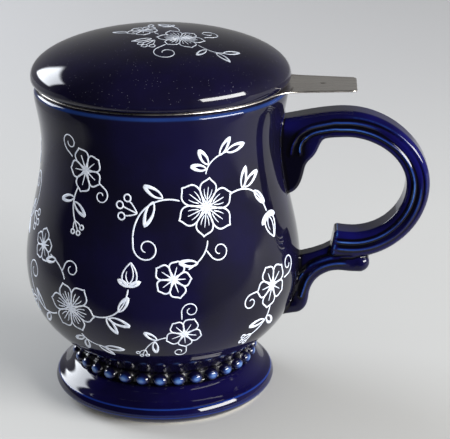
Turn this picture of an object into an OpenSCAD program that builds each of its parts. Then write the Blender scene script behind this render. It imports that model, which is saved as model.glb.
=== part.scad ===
// Lidded tea mug on a bead-trimmed foot, with a drop-in strainer basket under the lid.
// +Z is up and the origin is on the mug's axis, in the plane that the foot rests on.
// The handle and the basket's thumb tab both point along +X.

/* [Mug] */
// Height of the rim above the table
rim_z = 108; // [104:1:112]
// Outer radius at the rim
rim_r = 42; // [41.5:0.1:43]
// Outer radius at the fullest part of the belly
belly_r = 46.8; // [45:0.1:48]
// Height of the fullest part of the belly
belly_z = 48; // [46:0.5:50]
// Outer radius at the narrow waist under the rim
waist_r = 40.2; // [39.9:0.1:41]
// Height of the waist
waist_z = 89.5; // [88:0.5:91]
// Thickness of the wall
wall = 3.8; // [3.2:0.1:4.2]
// Height of the floor inside the mug
floor_z = 21.2; // [20:0.2:23]

/* [Foot] */
// Outer radius of the rounded foot
foot_r = 38.1; // [37.5:0.1:39]
// Radius of the roll round the foot's edge
foot_roll = 2.6; // [2.2:0.1:2.8]
// Radius of the stem between the foot and the belly
stem_r = 29.6; // [29:0.1:30]
// Height at which the belly starts on the stem
stem_z = 16.2; // [16:0.1:17]
// Outer radius of the ring that touches the table
rest_outer_r = 35; // [34:0.5:35.5]
// Inner radius of the ring that touches the table
rest_inner_r = 31.8; // [30:0.2:33]
// Number of beads round the stem
bead_count = 32; // [24:1:34]
// Radius of one bead
bead_r = 1.7; // [1.4:0.1:1.8]
// Height of the beads' centres
bead_z = 14.2; // [14:0.1:14.4]

/* [Handle] */
// Thickness of the handle from side to side, over its ribs
handle_w = 12.4; // [11:0.2:14]
// How far the handle's middle line reaches from the axis
handle_reach = 86; // [84:0.5:88]
// Height of the middle line along the top of the handle
handle_top_z = 96.1; // [95:0.1:97]
// Height of the middle line along the bottom of the loop
handle_low_z = 53.8; // [53:0.1:54.5]

/* [Lid] */
// Outer radius of the lid
lid_r = 43; // [42.5:0.1:43.5]
// Height of the lid's top above its seat
lid_h = 17.6; // [16:0.2:19]
// Radius of the roll round the lid's lower edge
lid_roll = 2.6; // [2:0.1:3]
// Outer radius of the ring under the lid
skirt_outer_r = 33.6; // [33:0.1:33.8]
// Inner radius of the ring under the lid
skirt_inner_r = 29.8; // [28:0.1:30.5]
// Depth of the ring under the lid
skirt_h = 7.6; // [5:0.2:9]

/* [Strainer] */
// Thickness of the steel sheet
sheet = 0.6; // [0.4:0.1:0.8]
// Outer radius of the flange that hangs on the rim
flange_r = 41; // [40.5:0.1:41.4]
// Outer radius of the basket's wall
basket_r = 34.9; // [34.6:0.1:35.2]
// Height of the basket's bottom above the table
basket_z = 40; // [36:1:50]
// Depth of the collar under the flange
collar_h = 9; // [7:0.5:11]
// How far the thumb tab's tip lies from the axis
tab_reach = 64.4; // [58:0.2:68]
// Width of the tab at its root
tab_root_w = 22; // [20:0.5:24]
// Width of the tab at its tip
tab_tip_w = 18; // [14:0.5:19]
// Radius of one hole in the wall and in the bottom
hole_r = 1; // [0.7:0.1:1.2]
// Number of holes in one row round the wall
hole_columns = 24; // [18:1:30]
// Number of rows of holes in the wall
hole_rows = 7; // [4:1:8]
// Distance between the holes in the bottom
hole_pitch = 5; // [4:0.5:6]

/* [Hidden] */
$fn = 96;
GLAZE = "#14124a";
STEEL = "#8c8880";
clear = 1;                        // how far a cutting shape runs past what it cuts

seat_z = rim_z + sheet;           // the lid sits on the flange
collar_r = basket_r + sheet;
basket_inner_r = basket_r - sheet;
inner_belly_r = belly_r - wall;
inner_waist_r = waist_r - wall;
mouth_r = inner_waist_r + 0.9;    // the mouth opens a little above the waist
lip = 1.8;                        // rounding of the rim's outer edge
inner_lip = 1.4;                  // rounding of the rim's inner edge
cup_floor_r = 27;                 // radius of the flat part of the floor

foot_roll_z = 4.3;                // height of the roll's centre
foot_heel = -60;                  // the roll runs from this angle to the next, in degrees
foot_shoulder = 48;
foot_top_z = 11.9;                // height at which the foot's slope meets the stem
stem_inner_r = 26;

bead_ring_r = stem_r + 1.1;
bead_phase = 2.75;                // turns the row so that one bead faces the front
bead_band = 0.5;                  // how far the band that carries the beads stands proud
bead_band_h = 3.2;

lid_equator_z = seat_z + lid_roll;
lid_dome_h = lid_h - lid_roll;
lid_wall = 4.2;                   // thickness of the dome at its top

tab_corner = 1.8;                 // radius of the tab's corners
dimple_x = 53.3;
dimple_r = 1.2;
dimple_depth = 0.25;

top_row_z = rim_z - collar_h - 6;
bottom_row_z = basket_z + 8;
hole_margin = 3.5;                // plain border round the holes in the bottom
wall_drop = 1;                    // the basket's wall ends this far below the rim
hoop_h = 3.2;

function bezier(a, b, c, d, n = 10) = [
    for (i = [0:n])
        let (t = i / n, s = 1 - t) s * s * s * a + 3 * s * s * t * b + 3 * s * t * t * c + t * t * t * d
];
function arc(centre, r, from, to, n = 8) = [
    for (i = [0:n]) let (a = from + (to - from) * i / n) centre + r * [cos(a), sin(a)]
];
function tail(list) = [for (i = [1:len(list) - 1]) list[i]];
function reversed(list) = [for (i = [len(list) - 1:-1:0]) list[i]];
function unit(v) = v / norm(v);

// The point's sideways direction on a path, to the left of its travel
function side(path, i) =
    let (v = unit(path[min(i + 1, len(path) - 1)] - path[max(i - 1, 0)])) [-v[1], v[0]];
// Half of a band's thickness at a point, from a list of values spread evenly along the path
function spread(values, path, i) =
    let (u = i / (len(path) - 1) * (len(values) - 1), k = min(floor(u), len(values) - 2))
    values[k] + (values[k + 1] - values[k]) * (u - k);
// Closed outline of a band that follows a path, between two shares of its half thickness
function band(path, half, low, high) = concat(
    [for (i = [0:len(path) - 1]) path[i] + high * spread(half, path, i) * side(path, i)],
    reversed([for (i = [0:len(path) - 1]) path[i] + low * spread(half, path, i) * side(path, i)])
);

// Outer outline of the bowl, from the stem to the rim
bowl_line = concat(
    bezier([stem_r, stem_z], [stem_r + 4.6, stem_z + 6], [belly_r, belly_z - 21], [belly_r, belly_z], 12),
    tail(bezier([belly_r, belly_z], [belly_r, belly_z + 12],
        [waist_r, waist_z - 13.6], [waist_r, waist_z], 12)),
    tail(bezier([waist_r, waist_z], [waist_r, waist_z + 6.5],
        [rim_r - 0.6, rim_z - 8], [rim_r, rim_z - 3.4], 5)),
    arc([rim_r - lip, rim_z - lip], lip, 0, 90, 6)
);
// Inner outline of the bowl, from the rim to the middle of the floor
hollow_line = concat(
    arc([mouth_r + inner_lip, rim_z - inner_lip], inner_lip, 90, 180, 5),
    tail(bezier([mouth_r, rim_z - 4], [mouth_r, rim_z - 9],
        [inner_waist_r, waist_z + 5], [inner_waist_r, waist_z], 4)),
    tail(bezier([inner_waist_r, waist_z], [inner_waist_r, waist_z - 13.6],
        [inner_belly_r, belly_z + 12], [inner_belly_r, belly_z], 10)),
    tail(bezier([inner_belly_r, belly_z], [inner_belly_r, belly_z - 18.5],
        [cup_floor_r + 6, floor_z + 1.3], [cup_floor_r, floor_z], 10))
);

module bowl_solid() {
    rotate_extrude() polygon(concat([[0, stem_z]], bowl_line, [[0, rim_z]]));
}

module bowl() {
    color(GLAZE) rotate_extrude() polygon(concat([[0, stem_z]], bowl_line, hollow_line, [[0, floor_z]]));
}

// The foot: a hollow pedestal with a rolled edge, a sloping top and a straight stem
foot_roll_r = foot_r - foot_roll;
foot_shoulder_point = [foot_roll_r, foot_roll_z] + foot_roll * [cos(foot_shoulder), sin(foot_shoulder)];
foot_line = concat(
    [[rest_outer_r, 0]],
    arc([foot_roll_r, foot_roll_z], foot_roll, foot_heel, foot_shoulder, 7),
    tail(bezier(foot_shoulder_point, [foot_r - 2.7, 8.4], [foot_r - 5.1, 11.4], [stem_r, foot_top_z], 8)),
    [[stem_r, stem_z]],
    bezier([stem_inner_r, stem_z], [stem_inner_r, 9], [stem_inner_r + 3, 5], [rest_inner_r, 0], 6)
);

module pedestal_foot() {
    color(GLAZE) rotate_extrude() polygon(foot_line);
}

module bead_ring() {
    color(GLAZE) difference() {
        union() {
            translate([0, 0, bead_z - bead_band_h / 2]) cylinder(r = stem_r + bead_band, h = bead_band_h);
            for (i = [0:bead_count - 1]) {
                rotate([0, 0, bead_phase + i * 360 / bead_count])
                    translate([bead_ring_r, 0, bead_z]) sphere(r = bead_r, $fn = 24);
            }
        }
        translate([0, 0, bead_z - bead_r - clear]) cylinder(r = stem_r, h = 2 * (bead_r + clear));
    }
}

// The handle's lines lie in the plane through the axis, as [distance from the axis, height].
// The loop leaves the bowl under the rim, goes round the hand's side and ends in a cut face.
loop_root = [38, handle_top_z - 3.5];
loop_crown = [61.5, handle_top_z];
loop_side = [handle_reach, (handle_top_z + handle_low_z) / 2 + 0.2];
loop_low = [64, handle_low_z];
loop_end = [57.4, handle_low_z + 0.6];
loop_path = concat(
    bezier(loop_root, loop_root + [9, 1.5], loop_crown - [7.5, 0], loop_crown, 6),
    tail(bezier(loop_crown, loop_crown + [12.1, 0], loop_side + [0, 11.4], loop_side, 12)),
    tail(bezier(loop_side, loop_side - [0, 11.8], loop_low + [11.4, 0], loop_low, 12)),
    tail(bezier(loop_low, loop_low - [2.2, 0], loop_end + [2.1, -0.4], loop_end, 3))
);
loop_half = [4, 4, 3.9, 3.6, 3.4, 3.6, 3.7, 4, 4.4, 4.6];
// The loop's side steps out in layers: [what comes off the full width, lowest share, highest share]
loop_layers = [[4, -1, 1], [1.8, -0.84, 0.84], [0, 0.1, 0.66], [0.6, -0.62, -0.18]];

// The ear runs down the bowl under the top of the loop
ear_shoulder = [51, 85.2];
ear_nick = [47.8, 80.4];
ear_foot = [42.4, 71.6];
ear_back = 39;
ear_line = concat(
    [[ear_back, 93]],
    bezier([56, 92.8], [53, 91.2], ear_shoulder + [1.6, 2.3], ear_shoulder, 5),
    tail(bezier(ear_shoulder, ear_shoulder - [1.4, 2], ear_nick + [0.6, 2.6], ear_nick, 4)),
    tail(bezier(ear_nick, ear_nick - [0.6, 2.6], ear_foot + [4.2, 1], ear_foot, 6)),
    [[ear_back, ear_foot[1] - 0.2]]
);
ear_inset = 3.4;

// The bracket carries the loop's lower end on a scroll that runs from a knob down to the bowl
knob_centre = [67.2, 47.1];
knob_r = 3.1;
knob_inset = 2;
scroll_bend = [57.8, 46.9];
scroll_drop = [47.2, 36.4];
scroll_foot = [43.6, 31.4];
scroll_path = concat(
    bezier(knob_centre + [0.4, 0.1], knob_centre - [3.6, 0.5], scroll_bend + [3.2, 0.7], scroll_bend, 6),
    tail(bezier(scroll_bend, scroll_bend - [5.2, 1.1], scroll_drop + [1.2, 6], scroll_drop, 8)),
    tail(bezier(scroll_drop, scroll_drop - [0.5, 2.6], scroll_foot + [2, 0.6], scroll_foot, 4))
);
scroll_half = [3, 2.7, 2.5, 2.6, 2.8, 2.6, 2];
scroll_layers = [[3, -1, 1], [1.2, -0.7, 0.7]];
// The web fills the corner between the bowl, the loop's end and the scroll
web_line = [
    [41, 34], [46, 36.5], [48.6, 43], [56, 47.4], [68, 47.6], [72, 50.8], [64, 52],
    [57.9, 52.6], [54.5, 51.2], [50.8, 49.8], [46.4, 48.6], [42, 48.2]
];
web_inset = 4.4;

module upright(inset) {
    thickness = handle_w - inset;
    rotate([90, 0, 0]) translate([0, 0, -thickness / 2]) linear_extrude(thickness) children();
}

module layered(path, half, layers) {
    for (layer = layers) upright(layer[0]) polygon(band(path, half, layer[1], layer[2]));
}

module knob() {
    width = handle_w - knob_inset;
    translate([knob_centre[0], 0, knob_centre[1]]) rotate([90, 0, 0])
        cylinder(r = knob_r, h = width, center = true, $fn = 32);
}

module handle() {
    color(GLAZE) difference() {
        union() {
            layered(loop_path, loop_half, loop_layers);
            upright(ear_inset) polygon(ear_line);
            upright(web_inset) polygon(web_line);
            layered(scroll_path, scroll_half, scroll_layers);
            knob();
        }
        bowl_solid();
    }
}

// The dome is a flattened curve of revolution over a rolled lower edge
dome_line = concat(
    [[skirt_inner_r, seat_z]],
    arc([lid_r - lid_roll, lid_equator_z], lid_roll, -90, 0, 6),
    [for (a = [6:6:84]) [lid_r * pow(cos(a), 1.156), lid_equator_z + lid_dome_h * pow(sin(a), 0.932)]],
    [[0, lid_equator_z + lid_dome_h]]
);
dome_hollow_line = [
    for (a = [90:-10:10])
        [skirt_inner_r * pow(cos(a), 0.7), seat_z + (lid_h - lid_wall) * pow(sin(a), 0.8)]
];

module lid_dome() {
    color(GLAZE) rotate_extrude() polygon(concat(dome_line, dome_hollow_line));
}

module lid_skirt() {
    color(GLAZE) translate([0, 0, seat_z - skirt_h]) difference() {
        cylinder(r = skirt_outer_r, h = skirt_h);
        translate([0, 0, -clear]) cylinder(r = skirt_inner_r, h = skirt_h + 2 * clear);
    }
}

// Outline of the thumb tab: its sides flare into the flange, taper outwards and end in rounded corners
tab_root_x = 45;
tab_straight_x = 48;
function tab_half(x) =
    (tab_root_w + (tab_tip_w - tab_root_w) * (x - tab_root_x) / (tab_reach - tab_root_x)) / 2;
tab_edge = concat(
    [[basket_r, tab_root_w - 1]],
    bezier([flange_r - 5, 19.2], [flange_r - 1.4, 13.4],
        [tab_straight_x - 6, tab_half(tab_straight_x) + 0.4], [tab_straight_x, tab_half(tab_straight_x)], 7),
    arc([tab_reach - tab_corner, tab_tip_w / 2 - tab_corner], tab_corner, 90, 0, 5)
);

module tab_outline() {
    polygon(concat(tab_edge, reversed([for (p = tab_edge) [p[0], -p[1]]])));
}

// One stamping: the flange that hangs on the rim, its thumb tab, and the collar drawn down from it
module infuser_rim() {
    color(STEEL) difference() {
        union() {
            translate([0, 0, rim_z]) linear_extrude(sheet) tab_outline();
            translate([0, 0, rim_z]) cylinder(r = flange_r, h = sheet);
            translate([0, 0, rim_z - collar_h]) cylinder(r = collar_r, h = collar_h + sheet / 2);
        }
        translate([0, 0, rim_z - collar_h - clear]) cylinder(r = basket_r, h = collar_h + sheet + 2 * clear);
        translate([dimple_x, 0, seat_z + dimple_r - dimple_depth]) sphere(r = dimple_r, $fn = 24);
    }
}

module basket_wall() {
    wall_h = rim_z - wall_drop - basket_z;
    color(STEEL) difference() {
        translate([0, 0, basket_z]) cylinder(r = basket_r, h = wall_h);
        translate([0, 0, basket_z - clear]) cylinder(r = basket_inner_r, h = wall_h + 2 * clear);
        for (row = [0:hole_rows - 1]) {
            row_z = bottom_row_z + row * (top_row_z - bottom_row_z) / (hole_rows - 1);
            for (column = [0:hole_columns - 1]) {
                rotate([0, 0, (column + (row % 2) / 2) * 360 / hole_columns])
                    translate([basket_inner_r - clear, 0, row_z]) rotate([0, 90, 0])
                        cylinder(r = hole_r, h = sheet + 2 * clear, $fn = 16);
            }
        }
    }
}

module basket_base() {
    rows = floor(basket_inner_r / hole_pitch) + 1;
    color(STEEL) translate([0, 0, basket_z]) difference() {
        cylinder(r = basket_inner_r, h = hoop_h);
        translate([0, 0, sheet]) cylinder(r = basket_inner_r - sheet, h = hoop_h);
        for (i = [-rows:rows], j = [-rows:rows]) {
            at = hole_pitch * [i + j / 2, j * sin(60)];
            if (norm(at) < basket_inner_r - hole_margin) {
                translate([at[0], at[1], -clear]) cylinder(r = hole_r, h = sheet + 2 * clear, $fn = 16);
            }
        }
    }
}

module basket_hoop() {
    color(STEEL) translate([0, 0, basket_z]) difference() {
        cylinder(r = basket_r + sheet, h = hoop_h);
        translate([0, 0, -clear]) cylinder(r = basket_r, h = hoop_h + 2 * clear);
    }
}

bowl();
pedestal_foot();
bead_ring();
handle();
lid_dome();
lid_skirt();
infuser_rim();
basket_wall();
basket_base();
basket_hoop();
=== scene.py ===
"""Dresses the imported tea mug: glazed ceramic, enamel sprays, steel strainer, pale floor and studio light.

Sizes are in millimetres until a mesh is made, and every place is in the part's own frame.
"""

import math

import bpy
import numpy as np
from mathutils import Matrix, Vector
from mathutils.geometry import delaunay_2d_cdt


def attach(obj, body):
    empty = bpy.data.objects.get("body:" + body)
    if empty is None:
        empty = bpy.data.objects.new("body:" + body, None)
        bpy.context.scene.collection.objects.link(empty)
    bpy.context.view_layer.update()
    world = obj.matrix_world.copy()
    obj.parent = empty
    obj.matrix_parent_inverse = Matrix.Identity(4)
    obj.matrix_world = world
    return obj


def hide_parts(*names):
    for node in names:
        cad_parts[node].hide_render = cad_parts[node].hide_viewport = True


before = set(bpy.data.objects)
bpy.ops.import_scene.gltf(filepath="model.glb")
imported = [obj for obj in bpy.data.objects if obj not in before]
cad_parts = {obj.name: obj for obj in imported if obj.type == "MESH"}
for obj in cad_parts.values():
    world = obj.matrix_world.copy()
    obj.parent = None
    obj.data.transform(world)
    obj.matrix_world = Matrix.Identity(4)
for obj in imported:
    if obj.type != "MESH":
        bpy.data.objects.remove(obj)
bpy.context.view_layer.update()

MM = 0.001
ROUND = 288  # segments round the large glazed bodies
SKIN = 0.15  # the glaze lies this far inside the part's outline, so that the enamel can stand on it

# ---------------------------------------------------------------- outlines


def bezier(a, b, c, d, n):
    t = np.linspace(0, 1, n + 1)[:, None]
    a, b, c, d = (np.array(p, float) for p in (a, b, c, d))
    return (1 - t) ** 3 * a + 3 * (1 - t) ** 2 * t * b + 3 * (1 - t) * t * t * c + t**3 * d


def arc(centre, r, start, end, n):
    t = np.radians(np.linspace(start, end, n + 1))
    return np.stack([centre[0] + r * np.cos(t), centre[1] + r * np.sin(t)], 1)


def chain(*parts):
    """Points and lines joined end to end, with no point twice."""
    out = [np.atleast_2d(np.array(parts[0], float))]
    for part in parts[1:]:
        part = np.atleast_2d(np.array(part, float))
        if np.hypot(*(part[0] - out[-1][-1])) < 1e-6:
            part = part[1:]
        out.append(part)
    return np.concatenate(out)


def curves(start, *legs):
    """Bezier curves end to end. A leg is its two handles, its end and its number of segments."""
    starts = [start] + [leg[2] for leg in legs]
    return chain(*(bezier(a, *leg) for a, leg in zip(starts, legs)))


def unit(rows):
    return rows / np.maximum(np.linalg.norm(rows, axis=1), 1e-9)[:, None]


def tangents(path):
    return unit(np.gradient(path, axis=0))


def left_of(heading):
    return np.stack([-heading[:, 1], heading[:, 0]], 1)


def offset_path(path, by):
    """The path moved to the left of its travel."""
    return path + by * left_of(tangents(path))


def run_along(path):
    """How far along the path each of its points lies."""
    return np.concatenate([[0], np.cumsum(np.linalg.norm(np.diff(path, axis=0), axis=1))])


def resample(path, pitch):
    """The same path with points spread evenly, about pitch apart."""
    run = run_along(path)
    at = np.linspace(0, run[-1], max(2, int(round(run[-1] / pitch)) + 1))
    return np.stack([np.interp(at, run, column) for column in path.T], 1)


def smoothstep(low, high, x):
    t = np.clip((x - low) / (high - low), 0, 1)
    return t * t * (3 - 2 * t)


# ---------------------------------------------------------------- meshes


def ring_points(r, angle, z):
    return np.column_stack([r * np.cos(angle), r * np.sin(angle), np.full(len(angle), z)])


def full_turn(n):
    return np.linspace(0, 2 * np.pi, n, endpoint=False)


def strip(low, high):
    """Quads between two closed rings."""
    return np.stack([low, np.roll(low, -1), np.roll(high, -1), high], 1)


def loft(rings, closed=True):
    """A skin over rings of equally many points, back to the first one if closed."""
    index = np.arange(sum(len(ring) for ring in rings)).reshape(len(rings), -1)
    after = np.roll(index, -1, 0) if closed else index[1:]
    return np.concatenate(rings), np.concatenate([strip(a, b) for a, b in zip(index, after)])


def revolve(line, segments, closed=False):
    """A surface of revolution. The line goes counter-clockwise in (radius, height), to face outwards."""
    angle = full_turn(segments)
    rows, points, faces, count = [], [], [], 0
    for r, z in line:
        used = angle[:1] if r < 1e-6 else angle
        points.append(ring_points(r, used, z))
        rows.append(count + np.arange(segments) % len(used))
        count += len(used)
    for low, high in zip(rows, rows[1:] + (rows[:1] if closed else [])):
        quads = strip(low, high)
        if low[0] == low[-1]:
            quads = quads[:, [0, 2, 3]]
        elif high[0] == high[-1]:
            quads = quads[:, [0, 1, 2]]
        faces.extend(quads.tolist())
    return np.concatenate(points), faces


def by_size(faces):
    """The triangles and the quads, as an array each."""
    groups = (np.array([f for f in faces if len(f) == size]) for size in (3, 4))
    return [group for group in groups if len(group)]


def vertex_normals(points, faces):
    normals = np.zeros_like(points)
    for group in by_size(faces):
        a, b, c, d = (points[group[:, k]] for k in (0, 1, 2, -1))
        flat = np.cross(c - a, d - b) if group.shape[1] == 4 else np.cross(b - a, c - a)
        for corner in group.T:
            np.add.at(normals, corner, flat)
    return unit(normals)


def gather(values, total, count, i, j):
    """Adds to each end of every edge the value at its other end."""
    for here, there in ((i, j), (j, i)):
        np.add.at(total, here, values[there])
        np.add.at(count, here, 1)


def glaze_thinness(points, faces, normals, low, high, rounds=2):
    """How thin the glaze has run, from the surface's bend: 0 on flat ground, 1 on an edge, -1 in a groove,
    where the glaze pools and painted shade darkens it.
    """
    edges = []
    for group in by_size(faces):
        ahead = np.roll(group, -1, 1)
        edges.extend(np.stack([group[:, k], ahead[:, k]], 1) for k in range(group.shape[1]))
    i, j = np.concatenate(edges).T
    gap = points[j] - points[i]
    bend = ((normals[j] - normals[i]) * gap).sum(1) / np.maximum((gap * gap).sum(1), 1e-6)
    most, least = np.zeros(len(points)), np.zeros(len(points))
    for k in (i, j):
        np.maximum.at(most, k, bend)
        np.minimum.at(least, k, bend)
    share = smoothstep(low, high, most) - smoothstep(0.15, 0.9, -least) * smoothstep(high, low, most)
    for _ in range(rounds):
        total, count = share.copy(), np.ones(len(points))
        gather(share, total, count, i, j)
        share = total / count
    return share


def make_piece(name, body, nodes, material, points, faces, normals=None, thin=None, share=None):
    """A piece on its body. thin is glaze_thinness's limits, and share is added to what they give."""
    mesh = bpy.data.meshes.new(name)
    mesh.from_pydata((points * MM).tolist(), [], faces if isinstance(faces, list) else faces.tolist())
    mesh.materials.append(material)
    mesh.polygons.foreach_set("use_smooth", [True] * len(mesh.polygons))
    mesh.validate()
    if thin is not None:
        bent = glaze_thinness(points, faces, vertex_normals(points, faces), *thin)
        share = bent if share is None else bent + share
    if share is not None:
        layer = mesh.attributes.new("thin", "FLOAT", "POINT")
        layer.data.foreach_set("value", share.astype(np.float32))
    if normals is not None:
        mesh.normals_split_custom_set_from_vertices(normals.tolist())
    piece = bpy.data.objects.new(name, mesh)
    bpy.context.scene.collection.objects.link(piece)
    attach(piece, body)
    if nodes:
        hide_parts(*nodes)


# ---------------------------------------------------------------- materials


class Nodes:
    """A short way to write the node tree of a material, a light or the world."""

    def __init__(self, owner):
        owner.use_nodes = True
        self.owner, self.tree = owner, owner.node_tree

    def fill(self, node, inputs):
        """Sets a node's inputs, each to a number, a colour, a vector or another node's output."""
        for key, value in inputs.items():
            socket = node.inputs[key]
            if isinstance(value, bpy.types.NodeSocket):
                self.tree.links.new(value, socket)
            elif isinstance(value, tuple) and len(socket.default_value) == 4:
                socket.default_value = (*value, 1.0)
            else:
                socket.default_value = value
        return node

    def add(self, kind, inputs, **settings):
        node = self.tree.nodes.new(kind)
        for key, value in settings.items():
            setattr(node, key, value)
        return self.fill(node, inputs)

    def place(self, kind="Object"):
        """The point on the object, in metres."""
        return self.add("ShaderNodeTexCoord", {}).outputs[kind]

    def split(self, vector):
        return self.add("ShaderNodeSeparateXYZ", {0: vector}).outputs

    def noise(self, scale, detail=2.0, stretch=None, rough=0.5):
        place = self.place()
        if stretch is not None:
            place = self.add("ShaderNodeMapping", {"Scale": stretch, "Vector": place}).outputs["Vector"]
        inputs = {"Scale": scale, "Detail": detail, "Roughness": rough, "Vector": place}
        return self.add("ShaderNodeTexNoise", inputs).outputs["Fac"]

    def ramp(self, value, low, high, to_low=0.0, to_high=1.0):
        inputs = {"Value": value, "From Min": low, "From Max": high, "To Min": to_low, "To Max": to_high}
        return self.add("ShaderNodeMapRange", inputs, interpolation_type="SMOOTHSTEP").outputs["Result"]

    def math(self, operation, a, b):
        return self.add("ShaderNodeMath", {0: a, 1: b}, operation=operation).outputs[0]

    def product(self, first, *others):
        for other in others:
            first = self.math("MULTIPLY", first, other)
        return first

    def mix(self, share, a, b):
        return self.add("ShaderNodeMix", {"Factor": share, 6: a, 7: b}, data_type="RGBA").outputs[2]

    def choose(self, share, a, b):
        return self.add("ShaderNodeMix", {0: share, 2: a, 3: b}, data_type="FLOAT").outputs[0]

    def bump(self, height, distance, strength):
        inputs = {"Height": height, "Distance": distance, "Strength": strength}
        return self.add("ShaderNodeBump", inputs).outputs["Normal"]

    def surface(self, **inputs):
        """Sets the shader's inputs, and gives the finished material."""
        inputs = {key.replace("_", " "): value for key, value in inputs.items()}
        self.fill(self.tree.nodes["Principled BSDF"], inputs)
        return self.owner


POOLED_GLAZE_AND_SHADE = (0.0016, 0.0014, 0.0032)  # glaze that has pooled in a groove, together with painted shade there
DEEP, RICH = (0.0042, 0.0038, 0.011), (0.0052, 0.0044, 0.023)  # two tones that cloud the glaze
BRIGHT, PALE_EDGE_AND_HIGHLIGHT = (0.012, 0.041, 0.185), (0.06, 0.15, 0.37)  # thin glaze, and glaze on a sharp edge, pale with a painted highlight
FOOT_DEEP, FOOT_RICH = (0.0024, 0.0018, 0.014), (0.0034, 0.0024, 0.028)
# FOOT_PALE_AND_HIGHLIGHT is the foot's pale edge colour: thin glaze with a painted highlight
FOOT_BRIGHT, FOOT_PALE_AND_HIGHLIGHT = (0.006, 0.021, 0.14), (0.012, 0.042, 0.19)
# BEAD_PALE_AND_HIGHLIGHT is the beads' crown colour: pale thin glaze with a painted highlight
BEAD_BRIGHT, BEAD_PALE_AND_HIGHLIGHT = (0.014, 0.038, 0.16), (0.062, 0.135, 0.31)
HANDLE_DEEP, HANDLE_RICH = (0.0028, 0.0024, 0.022), (0.0042, 0.0038, 0.064)
LID_DEEP, LID_RICH = (0.0040, 0.0034, 0.011), (0.0055, 0.0042, 0.022)
DUST, CLAY = (0.55, 0.55, 0.6), (0.86, 0.80, 0.68)
ENAMEL_WORN, ENAMEL_WHITE = (0.54, 0.59, 0.70), (0.74, 0.78, 0.86)
STEEL_DARK, STEEL_LIGHT = (0.43, 0.40, 0.37), (0.57, 0.54, 0.50)
# PAPER_FAR_SHADE is a darker paper, used as painted shade at the back of the floor
PAPER, PAPER_LIGHT, PAPER_FAR_SHADE = (0.455, 0.457, 0.452), (0.48, 0.482, 0.477), (0.43, 0.43, 0.435)


def glaze_material(name, deep=DEEP, rich=RICH, bright=BRIGHT, pale=PALE_EDGE_AND_HIGHLIGHT, dust=0.0, bare_below=None,
                   ior=1.385, pool_rough=0.0):
    """Deep cobalt gloss glaze: bright blue where it runs thin, pale with a painted highlight on sharp edges,
    and black where it pools and where painted shade darkens grooves.
    """
    m = Nodes(bpy.data.materials.new(name))
    thin = m.add("ShaderNodeAttribute", {}, attribute_name="thin").outputs["Fac"]
    share = m.product(thin, m.ramp(m.noise(90.0, 3.0), 0.25, 0.75, 0.75, 1.1))
    tone = m.ramp(m.noise(34.0, 4.0), 0.36, 0.66)
    # Below zero the colour goes black: pooled glaze together with painted shade in grooves and creases
    colour = m.mix(m.ramp(thin, -0.8, 0.0, 1.0, 0.0), m.mix(tone, deep, rich), POOLED_GLAZE_AND_SHADE)
    colour = m.mix(m.ramp(share, 0.0, 0.6), colour, bright)
    # Pale on the sharpest edges and rib crests: thin glaze with a painted highlight
    colour = m.mix(m.ramp(share, 0.45, 1.0), colour, pale)
    rough = m.ramp(m.noise(240.0), 0.3, 0.8, 0.045, 0.085)
    if pool_rough > 0:
        rough = m.math("ADD", rough, m.ramp(thin, -0.7, -0.1, pool_rough, 0.0))
    if dust > 0:
        cells = m.add("ShaderNodeTexVoronoi", {"Scale": 1100.0, "Vector": m.place()}).outputs["Distance"]
        patchy = m.ramp(m.noise(300.0, 1.0), 0.44, 0.62)
        speck = m.product(m.ramp(cells, 0.06, 0.15, 1.0, 0.0), patchy, dust)
        colour = m.mix(speck, colour, DUST)
        rough = m.math("ADD", rough, m.product(speck, 0.3))
    if bare_below is not None:
        clay_end, clear, fades, faded = ((bare_below + up) * MM for up in (0.0, 0.35, 0.7, 1.6))
        edge = m.math("ADD", m.split(m.place())["Z"], m.product(m.noise(160.0, 3.0), 0.0005))
        bare = m.ramp(edge, clay_end, clear, 1.0, 0.0)
        thin_end = m.product(m.ramp(edge, fades, faded, 1.0, 0.0), 0.7)
        colour = m.mix(bare, m.mix(thin_end, colour, bright), CLAY)
        rough = m.math("ADD", rough, m.product(bare, 0.6))
    return m.surface(Base_Color=colour, Roughness=rough, IOR=ior, Normal=m.bump(m.noise(130.0), 0.0002, 0.06))


def toned(colour, tone):
    return tuple(tone * c for c in colour)


def enamel_material(name, tone=1.0):
    m = Nodes(bpy.data.materials.new(name))
    worn = m.ramp(m.noise(900.0, 3.0), 0.35, 0.7)
    colour = m.mix(worn, toned(ENAMEL_WORN, tone), toned(ENAMEL_WHITE, tone))
    return m.surface(Base_Color=colour, Roughness=0.38, Normal=m.bump(m.noise(2200.0), 0.00005, 0.25))


def steel_material(name, stretch, tone):
    """Stainless sheet with a brushed grain. The grain runs along the axis whose stretch is small."""
    m = Nodes(bpy.data.materials.new(name))
    grain = m.noise(1.0, 3.0, stretch, 0.65)
    colour = m.mix(m.ramp(grain, 0.3, 0.7), toned(STEEL_DARK, tone), toned(STEEL_LIGHT, tone))
    rough = m.ramp(grain, 0.2, 0.8, 0.24, 0.36)
    return m.surface(Base_Color=colour, Roughness=rough, Metallic=1.0, Normal=m.bump(grain, 0.00004, 0.22))


# The paper floor fades out between the two places of each pair, in metres. On the left it keeps a share,
# so that the glaze mirrors a darker room there, along a line that splays with the camera's view.
FLOOR_FRONT, FLOOR_FAR, FLOOR_SIDE = (-0.115, -0.044), (0.75, 1.75), (0.7, 1.5)
FLOOR_LEFT, FLOOR_LEFT_SHARE, FLOOR_SPLAY = (-0.26, -0.12), 0.35, 0.213


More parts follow.
